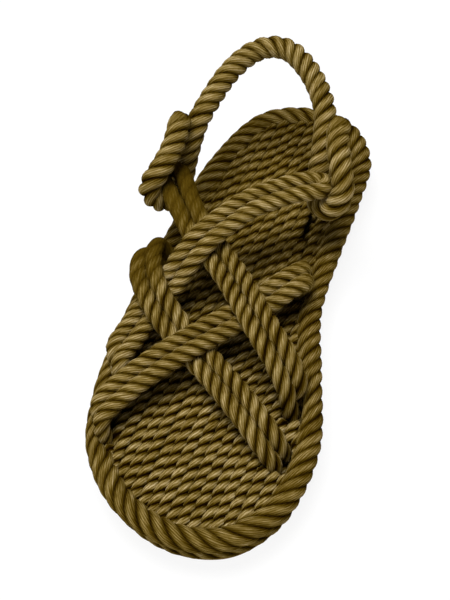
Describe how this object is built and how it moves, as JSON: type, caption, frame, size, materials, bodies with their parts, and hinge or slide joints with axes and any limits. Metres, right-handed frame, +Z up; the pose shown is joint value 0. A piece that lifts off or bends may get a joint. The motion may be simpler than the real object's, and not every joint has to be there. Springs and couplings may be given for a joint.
{
  "type": "flat sandal",
  "caption": "Flat rope sandal for a child's right foot: twisted rope footbed and rim on a thin rubber outsole, crossed doubled rope straps and a rope sling behind the heel.",
  "frame": {"origin": "on the floor under the middle of the sandal's box", "axes": "+Z up, -Y towards the toe, +Y towards the heel, +X towards the inner (medial) side of the right foot"},
  "size_m": [0.0846, 0.1858, 0.0563],
  "materials": {
    "outsole_rubber": "matt ochre-brown rubber with a fine square grid",
    "rim_rope": "twisted olive rope with a slight sheen",
    "footbed_rope": "twisted olive rope with a slight sheen",
    "strap_rope": "twisted olive rope with a slight sheen",
    "sling_rope": "twisted olive rope with a slight sheen"
  },
  "bodies": {
    "root": {"outsole": "outsole_rubber", "rim_rope_lower": "rim_rope", "rim_rope_upper": "rim_rope", "footbed_ropes": "footbed_rope", "upper_straps": "strap_rope", "heel_sling": "sling_rope"}
  },
  "joints": []
}
